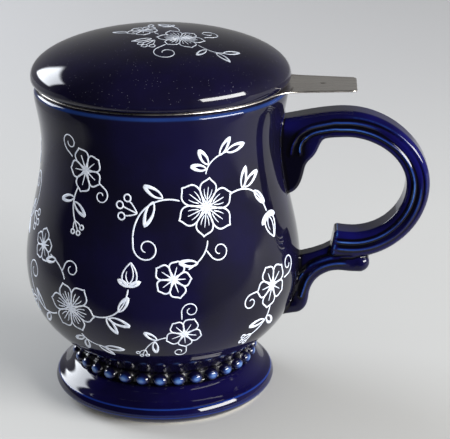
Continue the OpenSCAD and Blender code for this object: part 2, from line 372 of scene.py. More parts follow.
def floor_material():
    """Pale paper that fades into the pale backdrop outside the picture."""
    m = Nodes(bpy.data.materials.new("paper_floor"))
    x, y, _ = m.split(m.place())
    colour = m.mix(m.ramp(m.noise(3.0, 3.0), 0.3, 0.7), PAPER, PAPER_LIGHT)
    # Painted shade: the paper darkens towards the back, where less light reaches
    colour = m.mix(m.ramp(y, 0.05, 0.55), colour, PAPER_FAR_SHADE)
    aside = m.math("ADD", x, m.product(y, FLOOR_SPLAY))
    kept = m.math("MINIMUM", m.ramp(y, *FLOOR_FRONT), m.ramp(aside, *FLOOR_LEFT, FLOOR_LEFT_SHARE, 1.0))
    far = m.ramp(y, *FLOOR_FAR, 1.0, 0.0)
    side = m.ramp(m.math("ABSOLUTE", x, 0.0), *FLOOR_SIDE, 1.0, 0.0)
    return m.surface(Base_Color=colour, Alpha=m.product(kept, far, side), Roughness=0.75,
                     Specular_IOR_Level=0.25, Normal=m.bump(m.noise(900.0, 3.0), 0.0001, 0.1))


# ---------------------------------------------------------------- the mug's body

RIM_Z, RIM_R, BELLY_R, BELLY_Z = 108.0, 42.0, 46.8, 48.0
WAIST_R, WAIST_Z, WALL, INSIDE_Z = 40.2, 89.5, 3.8, 21.2
STEM_R, STEM_Z = 29.6, 16.2
LIP, INNER_LIP = 1.8, 1.4
INNER_WAIST_R, INNER_BELLY_R = WAIST_R - WALL, BELLY_R - WALL
MOUTH_R = INNER_WAIST_R + 0.9

BOWL_LINE = chain(
    curves(
        (STEM_R, STEM_Z),
        ((34.2, 22.2), (BELLY_R, 27), (BELLY_R, BELLY_Z), 46),
        ((BELLY_R, 60), (WAIST_R, 75.9), (WAIST_R, WAIST_Z), 46),
        ((WAIST_R, 96), (RIM_R - 0.6, 100), (RIM_R, RIM_Z - 3.4), 18),
        ((RIM_R + 0.05, RIM_Z - 2.8), (RIM_R + 0.02, RIM_Z - 2.2), (RIM_R, RIM_Z - LIP), 3),
    ),
    arc((RIM_R - LIP, RIM_Z - LIP), LIP, 0, 90, 14),
)
BOWL_SKIN = offset_path(BOWL_LINE, SKIN)
HOLLOW_LINE = chain(
    arc((MOUTH_R + INNER_LIP, RIM_Z - INNER_LIP), INNER_LIP, 90, 180, 10),
    curves(
        (MOUTH_R, RIM_Z - 4),
        ((MOUTH_R, 99), (INNER_WAIST_R, 94.5), (INNER_WAIST_R, WAIST_Z), 10),
        ((INNER_WAIST_R, 75.9), (INNER_BELLY_R, 60), (INNER_BELLY_R, BELLY_Z), 24),
        ((INNER_BELLY_R, 29.5), (33, 22.5), (27, INSIDE_Z), 24),
    ),
    (14, INSIDE_Z),
    (0, INSIDE_Z),
)


def make_bowl(material):
    """The bowl, its glaze thin on the lip's edge with a painted highlight, a painted shadow on the lip's top
    under the flange, and pooled glaze with painted shade above the beads.
    """
    skin = BOWL_SKIN.copy()
    skin[0, 1] = STEM_Z
    line = chain((0, STEM_Z), (14, STEM_Z), (STEM_R - 0.4, STEM_Z), skin, HOLLOW_LINE)
    points, faces = revolve(line, ROUND)
    z = points[:, 2]
    # Partly thin glaze on the lip's edge, partly a painted highlight: a brighter band just under the rim
    lip = 0.22 * smoothstep(RIM_Z - 1.9, RIM_Z - 1.1, z) * smoothstep(RIM_Z - 0.1, RIM_Z - 0.6, z)
    # Painted shadow: the lip's top is darkened where the strainer's flange overhangs it
    top = 0.35 * smoothstep(RIM_Z - 0.7, RIM_Z - 0.3, z)
    # Pooled glaze and painted shade: darker where the belly meets the stem above the beads
    stem = smoothstep(STEM_Z + 1.4, STEM_Z + 0.5, z)
    make_piece("mug_bowl", "mug", ["bowl"], material, points, faces,
               thin=(0.45, 1.15, 1), share=lip - top - stem)


def make_foot(material):
    """The foot: a narrow ring to stand on, a flared edge, a waist under the beads and a hollow below."""
    line = chain(
        curves(
            (31.8, 0.0),
            ((32.2, 0.02), (33.0, 0.0), (33.6, 0.08), 4),
            ((34.6, 0.5), (37.0, 2.0), (37.9, 3.8), 14),
            ((38.03, 4.2), (38.1, 4.6), (38.0, 5.0), 6),
            ((37.8, 5.7), (37.55, 6.2), (37.25, 6.65), 12),
            ((36.8, 7.2), (35.6, 7.5), (34.6, 8.4), 14),
            ((33.0, 9.9), (32.2, 11.2), (STEM_R + 1.2, 11.75), 14),
            ((STEM_R + 0.5, 12.0), (STEM_R + 0.1, 12.3), (STEM_R, 13.2), 5),
        ),
        (STEM_R, STEM_Z - 0.6),
        (STEM_R - 0.5, STEM_Z + 0.1),
        (26, STEM_Z + 0.1),
        bezier((26, STEM_Z - 0.2), (26, 9), (29, 5), (31.3, 0.2), 14),
    )
    points, faces = revolve(line, ROUND, closed=True)
    # Pooled glaze and painted shade: the foot's top darkens towards the beads above it
    collar = -smoothstep(13.0, 14.5, points[:, 2])
    make_piece("mug_foot", "mug", ["pedestal_foot"], material, points, faces,
               thin=(0.3, 1.3, 1), share=collar)


BEADS, BEAD_Z, BEAD_PHASE = 32, 14.2, 2.75
BEAD_HALF_W, BEAD_HALF_H, BEAD_RISE, BEAD_CREST = 2.6, 1.98, 2.15, 2.55
BEAD_BAND, BEAD_SEGMENTS = (-2.15, 2.0), 32


def make_beads(material):
    """A row of oval beads on a low band, with pooled glaze and painted shade between them, and thin glaze
    with a painted highlight on their crowns.
    """
    angle = full_turn(BEADS * BEAD_SEGMENTS)
    z = np.linspace(BEAD_Z + BEAD_BAND[0], BEAD_Z + BEAD_BAND[1], 44)
    pitch = 2 * np.pi / BEADS
    off = (angle - math.radians(BEAD_PHASE) + pitch / 2) % pitch - pitch / 2
    across, up = off * (STEM_R + 1.7), (z - BEAD_Z)[:, None]
    near = (across / BEAD_HALF_W) ** 2 + (up / BEAD_HALF_H) ** 2
    ball = STEM_R + 0.4 + BEAD_RISE * np.sqrt(np.clip(1 - near**1.3, 0, 1)) - 0.9 * np.clip(near - 1, 0, 1)
    ball = np.minimum(ball, STEM_R + BEAD_CREST)
    band = STEM_R + 0.08 - smoothstep(1.45, 2.1, np.abs(up)) * 0.75 + 0 * near
    r = blend_max(ball, band, 0.4)
    r = np.minimum(r, np.where(np.abs(up) > 1.95, STEM_R - 0.2, 99))
    # The crowns are pale, a little up and to one side: thin glaze with a painted highlight. Round each bead
    # the colour goes black: pooled glaze and painted shade
    off_crown = np.sqrt(((across + 0.2) / BEAD_HALF_W) ** 2 + ((up - 0.1) / BEAD_HALF_H) ** 2)
    crown = 1.15 * smoothstep(0.98, 0.0, off_crown) ** 1.2 - 0.9 * smoothstep(0.9, 1.05, off_crown)
    rings = [ring_points(ring, angle, level) for ring, level in zip(r, z)]
    points, faces = loft(rings + [ring_points(STEM_R - 0.6, angle, level) for level in (z[-1], z[0])])
    share = np.concatenate([crown.ravel(), np.zeros(2 * len(angle))])
    make_piece("bead_trim", "mug", ["bead_ring"], material, points, faces, share=share)


def blend_min(a, b, fillet):
    """Two fields joined, with a fillet about that wide."""
    gap = np.clip(fillet - np.abs(a - b), 0, None) / fillet
    return np.minimum(a, b) - gap**3 * fillet / 6


def blend_max(a, b, fillet):
    return -blend_min(-a, -b, fillet)


# ---------------------------------------------------------------- the handle

PLANE_STEP, PLANE_LOW, PLANE_HIGH = 0.2, (32.0, 24.0), (94.0, 104.0)
PLANE_AXES = [np.arange(low, high, PLANE_STEP) for low, high in zip(PLANE_LOW, PLANE_HIGH)]
PLANE_X, PLANE_Z = np.meshgrid(*PLANE_AXES, indexing="ij")
HANDLE_LOW, HANDLE_HIGH, HANDLE_STEP = (37.5, -8.32, 26.4), (90.5, 8.32, 101.5), 0.32
HALF_WIDTH, KNOB_HALF, EAR_HALF, WEB_HALF = 5.5, 5.4, 5.3, 3.4  # half widths of the handle's parts


class Plane:
    """Values over the handle's plane, kept on a grid and read between its points."""

    def __init__(self, values):
        self.values = values.reshape(PLANE_X.shape)

    def __call__(self, x, z):
        g = self.values
        u = np.clip((x - PLANE_LOW[0]) / PLANE_STEP, 0, g.shape[0] - 1.001)
        v = np.clip((z - PLANE_LOW[1]) / PLANE_STEP, 0, g.shape[1] - 1.001)
        i, j = u.astype(int), v.astype(int)
        u, v = u - i, v - j
        low = g[i, j] * (1 - u) + g[i + 1, j] * u
        high = g[i, j + 1] * (1 - u) + g[i + 1, j + 1] * u
        return low * (1 - v) + high * v


def along(path):
    """Three planes for a path: the offset to its left, the share of its length, how far past its ends."""
    path = resample(path, 0.5)
    heading = tangents(path)
    left, last = left_of(heading), len(path) - 1
    spots = np.stack([PLANE_X.ravel(), PLANE_Z.ravel()], 1)
    blocks = np.array_split(spots, 8)
    near = np.concatenate([((block[:, None] - path) ** 2).sum(2).argmin(1) for block in blocks])
    ahead = ((spots - path[near]) * heading[near]).sum(1) > 0
    k = np.clip(np.where(ahead, near, near - 1), 0, last - 1)
    run = path[k + 1] - path[k]
    t = np.clip(((spots - path[k]) * run).sum(1) / (run * run).sum(1), 0, 1)
    at = path[k] + t[:, None] * run
    side = unit(left[k] * (1 - t)[:, None] + left[k + 1] * t[:, None])
    before = ((path[0] - spots) * heading[0]).sum(1)
    beyond = ((spots - path[-1]) * heading[-1]).sum(1)
    past = np.where(k + t < 2, before, np.where(k + t > last - 2, beyond, -5.0))
    return Plane(((spots - at) * side).sum(1)), Plane((k + t) / last), Plane(past)


def region(outline):
    """Signed distance to a closed outline, negative inside."""
    best, inside = np.full(PLANE_X.shape, 1e9), np.zeros(PLANE_X.shape, bool)
    for a, b in zip(outline, np.roll(outline, -1, 0)):
        run, x, z = b - a, PLANE_X - a[0], PLANE_Z - a[1]
        t = np.clip((x * run[0] + z * run[1]) / max(run @ run, 1e-9), 0, 1)
        best = np.minimum(best, np.hypot(x - t * run[0], z - t * run[1]))
        crosses = (a[1] > PLANE_Z) != (b[1] > PLANE_Z)
        inside ^= crosses & (PLANE_X < a[0] + z * run[0] / (run[1] if abs(run[1]) > 1e-9 else 1e-9))
    return Plane(np.where(inside, -best, best))


def rounded(inplane, width, half, r):
    """A shape with the given outline distance and half width, its edges rounded to radius r."""
    p, q = inplane + r, width - half + r
    return np.hypot(np.maximum(p, 0), np.maximum(q, 0)) + np.minimum(np.maximum(p, q), 0) - r


def bar(offset, half, width, crown=0.03, outer_r=1.7, inner_r=1.3):
    """A bar's section: its sides are a little crowned and its edges rounded."""
    side = HALF_WIDTH - crown * offset**2
    return rounded(np.abs(offset) - half, width, side, np.where(offset > 0, outer_r, inner_r))


def smooth_path(points):
    """A smooth line through a few points."""
    p = np.array(points, float)
    p = np.concatenate([[2 * p[0] - p[1]], p, [2 * p[-1] - p[-2]]])
    t = np.linspace(0, 1, 12, endpoint=False)[:, None]
    out = []
    for a, b, c, d in zip(p[:-3], p[1:-2], p[2:-1], p[3:]):
        square, cube = (2 * a - 5 * b + 4 * c - d) * t**2, (3 * b - a - 3 * c + d) * t**3
        out.append(0.5 * (2 * b + (c - a) * t + square + cube))
    return np.concatenate(out + [p[-2:-1]])


def spread(values, share):
    return np.interp(share, np.linspace(0, 1, len(values)), values)


LOOP_PATH = curves(
    (38, 92.5),
    ((47, 94.0), (54, 95.9), (61.5, 95.9), 40),
    ((73.4, 95.9), (85.5, 86.5), (85.5, 75.15), 60),
    ((85.5, 63.4), (75.2, 53.8), (64, 53.8), 60),
    ((61.8, 53.8), (59.5, 54), (57.4, 54.4), 12),
)
LOOP_HALF = (4.2, 4.4, 4.5, 4.3, 4.0, 3.9, 3.9, 4.1, 4.5, 4.6)
EAR_LINE = chain(
    (39, 93),
    curves(
        (56, 92.8),
        ((53, 91.2), (52.6, 87.5), (51, 85.2), 12),
        ((49.6, 83.2), (48.4, 83), (47.8, 80.4), 10),
        ((47.2, 77.8), (46.6, 72.6), (42.4, 71.6), 14),
    ),
    (39, 71.4),
)
WEB_LINE = chain(
    (41, 34), (46, 36.5), (48.6, 43), (56, 47.4), (68, 47.6), (71.4, 50.6), (64, 53), (58.4, 54), (57, 53),
    (54.5, 51.6), (50.8, 50.2), (46.4, 49), (42, 48.4)
)
SCROLL_PATH = chain(
    curves(
        (67.6, 47.2),
        ((63.6, 46.6), (61, 47.6), (57.8, 46.9), 20),
        ((52.6, 45.8), (48.4, 42.4), (47.2, 36.4), 30),
        ((46.9, 33.6), (46.8, 32.2), (45.6, 31.4), 10),
    ),
    (42, 30.6),
)
SCROLL_HALF = (3, 2.8, 2.6, 2.7, 2.9, 2.9, 2.6)
KNOB, KNOB_R = (67.2, 47.1), 3.1
# Lines of the ribs on the handle's sides: two that curl over the ear, and two along the scroll
UPPER_CURL = [(43.2, 83.4), (43.3, 86.4), (43.9, 89.2), (45.6, 92.4), (49.2, 94.9), (54.2, 96.2), (58, 96.9)]
LOWER_CURL = [(47.1, 84.2), (46.2, 86.3), (46.2, 88.7), (47.5, 91.1), (50.5, 93.2), (54.6, 94.2), (58, 94.7)]
UPPER_CREST = [(68.4, 49.6), (64.1, 49.7), (59, 49.6), (55.4, 48.7), (51.2, 46.9), (48.9, 44.9),
               (46.4, 41.2), (45, 37)]
LOWER_CREST = [(64.4, 47.2), (61, 47.5), (57.8, 47.2), (54.4, 46.1), (51.4, 44.1), (49.4, 41.4),
               (48.3, 38.2), (47.2, 34.4)]


def handle_ribs():
    """Each rib's planes, height, spread, the shares where it rises and falls, and how faint its middle is."""
    loop = resample(LOOP_PATH, 0.5)
    start = int(np.argmax(loop[:, 0] >= UPPER_CURL[-1][0]))
    drift = 1 + 0.35 * smoothstep(0.55, 0.9, np.linspace(0, 1, len(loop)))[:, None]
    upper = chain(smooth_path(UPPER_CURL)[:-1], offset_path(loop, 0.95 * drift)[start + 2 :])
    lower = chain(smooth_path(LOWER_CURL)[:-1], offset_path(loop, -1.3)[start + 2 :])
    outer = offset_path(loop, 2.7)[start - 8 : -60]
    ribs = (
        (upper, 0.42, 0.6, 0.035, 0.03, 0.7),
        (lower, 0.55, 0.52, 0.035, 0.03, 0.0),
        (outer, 0.17, 0.5, 0.2, 0.2, 0.0),
        (smooth_path(UPPER_CREST), 0.42, 0.55, 0.16, 0.03, 0.0),
        (smooth_path(LOWER_CREST), 0.5, 0.6, 0.16, 0.03, 0.0),
    )
    return [(along(path), *shape) for path, *shape in ribs]


def make_handle(material):
    """The handle as one field: loop, scroll, ear, web and knob run together, with ribs on their sides."""
    loop_off, loop_share, loop_past = along(LOOP_PATH)
    scroll_off, scroll_share, scroll_past = along(SCROLL_PATH)
    ear, web = region(EAR_LINE), region(WEB_LINE)
    body_off, _, _ = along(np.concatenate([BOWL_SKIN, BOWL_SKIN[-1:] + [[0, 4]]]))
    ribs = handle_ribs()

    def field(p):
        x, z, w = p[:, 0], p[:, 2], np.abs(p[:, 1])
        share, low_share = loop_share(x, z), scroll_share(x, z)
        loop = bar(loop_off(x, z), spread(LOOP_HALF, share), w)
        loop = blend_max(loop, np.where(share > 0.5, loop_past(x, z), -5.0), 2.2)
        scroll = bar(scroll_off(x, z), spread(SCROLL_HALF, low_share), w + 0.3, 0.06, 1.3, 1.3)
        scroll = blend_max(scroll, np.where(low_share < 0.5, scroll_past(x, z), -5.0), 1.0)
        knob = rounded(np.hypot(x - KNOB[0], z - KNOB[1]) - KNOB_R, w, KNOB_HALF, 2.9)
        lobe = rounded(ear(x, z), w, EAR_HALF, 1.7)
        plate = rounded(web(x, z), w, WEB_HALF, 1.2)
        low = blend_min(blend_min(scroll, plate, 1.4), knob, 0.7)
        shape = blend_min(blend_min(loop, lobe, 1.8), low, 0.9)
        raised = np.zeros(len(p))
        for (off, part, past), height, wide, rises, falls, faint in ribs:
            s = part(x, z)
            strength = smoothstep(0.0, rises, s) * smoothstep(0.0, falls, 1 - s)
            strength = strength * smoothstep(1.5, 0.0, past(x, z))
            strength = strength * (1 - faint * smoothstep(0.30, 0.42, s) * smoothstep(0.66, 0.54, s))
            raised = np.maximum(raised, height * strength * np.exp(-((off(x, z) / wide) ** 2)))
        shape = shape - raised * smoothstep(1.6, 4.2, w)
        body = -body_off(np.hypot(x, p[:, 1]), z)
        welt = np.exp(-(((shape - 1.25) / 0.42) ** 2)) * smoothstep(69.5, 74.0, z)
        joined = np.maximum(blend_min(shape, body + 0.04 - 0.26 * welt, 1.3), shape - 2.3)
        return np.maximum(joined, -(body + 0.8))

    points, faces = surface_net(field, HANDLE_LOW, HANDLE_HIGH, HANDLE_STEP)
    points, normals = settle(field, points, faces)
    x, _, z = points.T
    # Painted shade: the ear and the scroll's foot go darker next to the bowl
    painted_shade = smoothstep(52.0, 46.5, x) * smoothstep(69.0, 75.0, z) * smoothstep(96.0, 91.0, z)
    painted_shade = np.maximum(painted_shade, smoothstep(51.0, 46.0, x) * smoothstep(54.0, 49.0, z) * 0.6)
    thin = glaze_thinness(points, faces, normals, 0.5, 3.4, 1)
    thin = thin - 0.7 * painted_shade * smoothstep(0.4, 0.1, thin)
    make_piece("mug_handle", "mug", ["handle"], material, points, faces, normals, share=thin)


def surface_net(field, low, high, step):
    """Quads round the zero surface of a field, one point in each cell that the surface passes."""
    axes = [np.arange(a, b + step, step) for a, b in zip(low, high)]
    size = [len(a) for a in axes]
    values = np.empty(size)
    gx, gz = np.meshgrid(axes[0], axes[2], indexing="ij")
    for j, y in enumerate(axes[1]):
        slab = np.stack([gx.ravel(), np.full(gx.size, y), gz.ravel()], 1)
        values[:, j, :] = field(slab).reshape(gx.shape)
    cells = [n - 1 for n in size]
    total, count = np.zeros(cells + [3]), np.zeros(cells)
    crossings = []
    for axis in range(3):
        a = np.take(values, range(size[axis] - 1), axis)
        b = np.take(values, range(1, size[axis]), axis)
        cross = (a < 0) != (b < 0)
        spot = np.moveaxis(np.indices(a.shape), 0, -1).astype(float)
        spot[..., axis] += np.where(cross, a / np.where(cross, a - b, 1), 0)
        others = [k for k in range(3) if k != axis]
        for corner in ((0, 0), (0, 1), (1, 0), (1, 1)):
            take = [slice(None)] * 3
            for other, by in zip(others, corner):
                take[other] = slice(by, size[other] - 1 + by)
            take = tuple(take)
            total += np.where(cross[take][..., None], spot[take], 0)
            count += cross[take]
        crossings.append((axis, others, cross, a < 0))
    used = count > 0
    index = np.full(cells, -1)
    index[used] = np.arange(used.sum())
    points = total[used] / count[used][:, None] * step + np.array(low)
    faces = []
    for axis, (u, v), cross, inside in crossings:
        at = np.argwhere(cross)
        at = at[(at[:, u] > 0) & (at[:, v] > 0) & (at[:, u] < size[u] - 1) & (at[:, v] < size[v] - 1)]
        corners = []
        for du, dv in ((-1, -1), (0, -1), (0, 0), (-1, 0)):
            move = at.copy()
            move[:, u] += du
            move[:, v] += dv
            corners.append(index[tuple(move.T)])
        quad = np.stack(corners, 1)
        outward = inside[tuple(at.T)] != (axis == 1)
        faces.append(np.where(outward[:, None], quad, quad[:, ::-1]))
    return points, np.concatenate(faces)


def gradient(field, points):
    step = 0.03
    moves = np.eye(3) * step
    return np.stack([(field(points + move) - field(points - move)) / (2 * step) for move in moves], 1)


def settle(field, points, faces):
    """Moves the points onto the surface and evens them out, and gives the surface's own normals."""
    for turn in range(3):
        for _ in range(2):
            slope = gradient(field, points)
            square = np.maximum((slope**2).sum(1), 0.05)
            move = -field(points)[:, None] * slope / square[:, None]
            size = np.linalg.norm(move, axis=1)
            points = points + move * np.minimum(1, 0.15 / np.maximum(size, 1e-9))[:, None]
        if turn < 2:
            total, count = np.zeros_like(points), np.zeros(len(points))
            for k in range(4):
                gather(points, total, count, faces[:, k], faces[:, (k + 1) % 4])
            normal = unit(gradient(field, points))
            drift = total / count[:, None] - points
            drift -= (drift * normal).sum(1)[:, None] * normal
            points = points + 0.5 * drift
    return points, unit(gradient(field, points))


# ---------------------------------------------------------------- the lid

SEAT_Z, LID_R, LID_H, LID_ROLL = 108.6, 43.0, 17.6, 2.6
SKIRT_OUT, SKIRT_IN, SKIRT_H, SKIRT_BEVEL = 33.6, 29.8, 7.6, 1.2
EQUATOR_Z, DOME_H, LID_WALL = SEAT_Z + LID_ROLL, LID_H - LID_ROLL, 4.2


def oval(r, low, height, start, end, n, power_r, power_z):
    turn = np.radians(np.linspace(start, end, n))
    return np.stack([r * np.cos(turn) ** power_r, low + height * np.sin(turn) ** power_z], 1)


ROLL_STEPS = 18
LID_LINE = chain(
    arc((LID_R - LID_ROLL, EQUATOR_Z), LID_ROLL, -90, 0, ROLL_STEPS),
    oval(LID_R, EQUATOR_Z, DOME_H, 2.0, 88.0, 60, 1.156, 0.932),
    (0, EQUATOR_Z + DOME_H),
)
LID_SKIN = offset_path(LID_LINE, SKIN)
LID_SKIN[-1] = (0, EQUATOR_Z + DOME_H - SKIN)
LID_SKIN[:, 1] = np.maximum(LID_SKIN[:, 1], SEAT_Z + 0.02)


def make_lid(material):
    hollow = oval(SKIRT_IN, SEAT_Z, LID_H - LID_WALL, 90, 6, 22, 0.7, 0.8)
    hollow[0, 0] = 0
    points, faces = revolve(chain((SKIRT_IN + 0.4, SEAT_Z + 0.02), LID_SKIN, hollow), ROUND)
    make_piece("lid_dome_glazed", "lid", ["lid_dome"], material, points, faces, thin=(0.4, 1.25))


def make_skirt(material):
    """The ring under the lid that drops into the infuser."""
    low, top = SEAT_Z - SKIRT_H + SKIRT_BEVEL, SEAT_Z + 0.3
    line = chain(
        arc((SKIRT_IN + SKIRT_BEVEL, low), SKIRT_BEVEL, 180, 270, 8),
        arc((SKIRT_OUT - SKIRT_BEVEL, low), SKIRT_BEVEL, 270, 360, 8),
        (SKIRT_OUT, SEAT_Z),
        (SKIRT_OUT, top),
        (SKIRT_IN, top),
        (SKIRT_IN, SEAT_Z - 1),
    )
    points, faces = revolve(line, 192, closed=True)
    make_piece("lid_locating_ring", "lid", ["lid_skirt"], material, points, faces,
               thin=(0.9, 2.6, 1))


# ---------------------------------------------------------------- the strainer

SHEET, FLANGE_R, BASKET_R, BASKET_Z, COLLAR_H = 0.6, 41.0, 34.9, 40.0, 9.0
TAB_REACH, TAB_ROOT_W, TAB_TIP_W, TAB_CORNER = 64.4, 22.0, 18.0, 1.8
TAB_ROOT_X, TAB_NECK_X = 45, 48
DIMPLE_X, DIMPLE_R, DIMPLE_DEPTH = 53.3, 1.15, 0.2
BORDER_FROM = 44  # the border pressed along the edge runs only round the tab, from this radius outwards
FOLD = 0.9  # radius of the fold between the collar and the flange
HOLE_R, HOLE_SIDES = 0.56, 8


def flange_outline():
    """Half of the flange's outer edge, from the tab's tip round to the back, as [x, y] with y from 0 up."""
    tip = arc((TAB_REACH - TAB_CORNER, TAB_TIP_W / 2 - TAB_CORNER), TAB_CORNER, 0, 90, 10)
    narrowing = (TAB_TIP_W - TAB_ROOT_W) * (TAB_NECK_X - TAB_ROOT_X) / (TAB_REACH - TAB_ROOT_X)
    neck = (TAB_ROOT_W + narrowing) / 2
    flare = bezier((TAB_NECK_X, neck), (42, neck + 0.4), (39.6, 13.4), (36, 19.2), 24)
    flare = flare[: int(np.argmax(np.hypot(flare[:, 0], flare[:, 1]) < FLANGE_R))]
    meet = math.degrees(math.atan2(flare[-1, 1], flare[-1, 0]))
    end = resample(chain((TAB_REACH, 0), tip[:1]), 0.4)[1:-1]
    side = resample(chain(tip[-1], flare[0]), 0.5)[1:-1]
    return chain((TAB_REACH, 0), end, tip, side, flare, arc((0, 0), FLANGE_R, meet + 1.2, 180, 110))


def make_rim(material):
    """The stamping: flange with its thumb tab, rounded edges, a pressed dimple and the collar under it."""
    half = flange_outline()
    outline = np.concatenate([half, (half * [1, -1])[1:-1][::-1]])
    inward = left_of(unit(np.roll(outline, -1, 0) - np.roll(outline, 1, 0)))
    angle = np.arctan2(outline[:, 1], outline[:, 0])
    low, top = RIM_Z + 0.02, SEAT_Z
    bore, collar = BASKET_R + 0.02, BASKET_R + SHEET

    def flat(xy, z):
        return np.column_stack([xy, np.full(len(angle), z)])

    rings = [ring_points(bore, angle, RIM_Z - COLLAR_H), ring_points(bore, angle, top - 1.0)]
    for turn in np.radians((20, 45, 70, 90)):
        z = top - FOLD + FOLD * math.sin(turn) - 0.001
        rings.append(ring_points(bore + FOLD * (1 - math.cos(turn)), angle, z))
    inner = ring_points(BASKET_R + 1.4, angle, top)[:, :2]
    edge = outline + inward * 0.9
    for share in np.linspace(0, 1, 70):
        xy = inner + (edge - inner) * share
        away = np.hypot(xy[:, 0] - DIMPLE_X, xy[:, 1])
        dent = DIMPLE_DEPTH * smoothstep(DIMPLE_R, 0.6, away) - 0.05 * np.exp(-(((away - 1.5) / 0.3) ** 2))
        border = 0.06 * smoothstep(1.0, 0.9, share) * (np.hypot(xy[:, 0], xy[:, 1]) > BORDER_FROM)
        rings.append(flat(xy, top - 0.001 - np.maximum(dent, 0.0) - border))
    # The rounded edge of the sheet: how far in from the outline, and how high
    for inset, z in ((0.7, top - 0.001), (0.22, top - 0.005), (0.07, top - 0.08), (0.0, top - 0.25),
                     (0.0, low + 0.2), (0.07, low + 0.06), (0.22, low), (0.9, low)):
        rings.append(flat(outline + inward * inset, z))
    rings.append(ring_points(BASKET_R + SHEET + FOLD, angle, low))
    for turn in np.radians((30, 60, 90)):
        z = low - FOLD * (1 - math.cos(turn))
        rings.append(ring_points(BASKET_R + SHEET + FOLD * (1 - math.sin(turn)), angle, z))
    rings.append(ring_points(collar, angle, RIM_Z - COLLAR_H + 0.1))
    rings.append(ring_points(collar - 0.1, angle, RIM_Z - COLLAR_H))
    points, faces = loft(rings)
    make_piece("infuser_rim_and_tab", "infuser", ["infuser_rim"], material, points,
               faces[:, [0, 3, 2, 1]])


def make_basket_wall(material):
    """Fine round holes in staggered rows, between plain bands above and below."""
    columns, rows, first, last = 96, 24, 46.5, 94.0
    pitch, tall = 2 * np.pi / columns, (last - first) / rows
    points, faces, seen = [], [], {}

    def spot(key, angle, z):
        """The number of a point on the outer side. Its twin on the inner side is the next one."""
        if key not in seen:
            seen[key] = len(points)
            for r in (BASKET_R - 0.01, BASKET_R - SHEET):
                points.append((r * math.cos(angle), r * math.sin(angle), z))
        return seen[key]

    def both(loop):
        faces.append(loop)
        faces.append([v + 1 for v in reversed(loop)])

    def corner(u, v):
        return spot((u, v), u * pitch / 2, first + v * tall / 2)

    around = ((1, 0), (1, 1), (0, 1), (-1, 1), (-1, 0), (-1, -1), (0, -1), (1, -1))
    for row in range(rows):
        z = first + (row + 0.5) * tall
        for column in range(columns):
            centre, hole = 2 * column + row % 2, []
            square = [corner((centre + du) % (2 * columns), 2 * row + 1 + dv) for du, dv in around]
            for k, a in enumerate(full_turn(HOLE_SIDES)):
                angle = centre * pitch / 2 + HOLE_R * math.cos(a) / BASKET_R
                hole.append(spot((row, column, k), angle, z + HOLE_R * math.sin(a)))
            for a, b, c, d in zip(hole, square, square[1:] + square[:1], hole[1:] + hole[:1]):
                both([a, b, c, d])
                faces.append([a, d, d + 1, a + 1])
    for edge_row, z, up in ((0, BASKET_Z + 0.1, False), (2 * rows, RIM_Z - 1.2, True)):
        near = [corner(u, edge_row) for u in range(2 * columns)]
        far = [spot((u, "end", up), u * pitch / 2, z) for u in range(2 * columns)]
        for u in range(2 * columns):
            m = (u + 1) % (2 * columns)
            both([near[u], near[m], far[m], far[u]] if up else [far[u], far[m], near[m], near[u]])
            cap = [far[u], far[m], far[m] + 1, far[u] + 1]
            faces.append(cap if up else cap[::-1])
    make_piece("basket_perforated_wall", "infuser", ["basket_wall"], material,
               np.array(points), faces)


def make_basket_base(material):
    """The basket's bottom: a shallow dish with holes in rings, its rim turned up inside the wall."""
    rim, ring_pitch = BASKET_R - SHEET - 0.02, 2.3
    low, high, lip = BASKET_Z + 0.02, BASKET_Z + SHEET, rim - SHEET
    flat, edges = [], []

    def loop(x, y, r, n):
        """Adds a round edge, and gives the number of its first point."""
        start, turn = len(flat), full_turn(n)
        flat.extend(Vector((float(u), float(v))) for u, v in zip(x + r * np.cos(turn), y + r * np.sin(turn)))
        edges.extend((start + k, start + (k + 1) % n) for k in range(n))
        return start

    holes = [(0.0, 0.0)]
    for ring in range(1, int((rim - 3.0) / ring_pitch) + 1):
        for k in range(6 * ring):
            a = 2 * math.pi * k / (6 * ring) + 0.13 * ring
            holes.append((ring_pitch * ring * math.cos(a), ring_pitch * ring * math.sin(a)))
    loop(0, 0, rim, 128)
    starts = [loop(x, y, HOLE_R, HOLE_SIDES) for x, y in holes]
    made, _, triangles, _, _, _ = delaunay_2d_cdt(flat, edges, [], 0, 1e-7)
    xy, tri = np.array([(v.x, v.y) for v in made]), np.array(triangles)
    middle = xy[tri].mean(1)
    gap = np.sqrt(((middle[:, None] - np.array(holes)[None]) ** 2).sum(2)).min(1)
    tri = tri[(gap > HOLE_R * math.cos(math.pi / HOLE_SIDES) * 0.98) & (np.hypot(*middle.T) < rim)]
    n = len(xy)
    plates = [np.column_stack([xy, np.full(n, z)]) for z in (high, low)]
    faces = tri.tolist() + (tri[:, ::-1] + n).tolist()
    for start in starts:
        for k in range(HOLE_SIDES):
            p, q = start + k, start + (k + 1) % HOLE_SIDES
            faces.append([p, p + n, q + n, q])
    wall = ((rim, low), (rim, BASKET_Z + 3.0), (rim - 0.3, BASKET_Z + 3.2), (lip, BASKET_Z + 3.0),
            (lip, high + 0.6), (lip - 0.5, high + 0.03))
    wall_points, wall_faces = loft([ring_points(r, full_turn(128), z) for r, z in wall], closed=False)
    make_piece("basket_perforated_base", "infuser", ["basket_base"], material,
               np.concatenate([*plates, wall_points]), faces + (wall_faces + 2 * n).tolist())


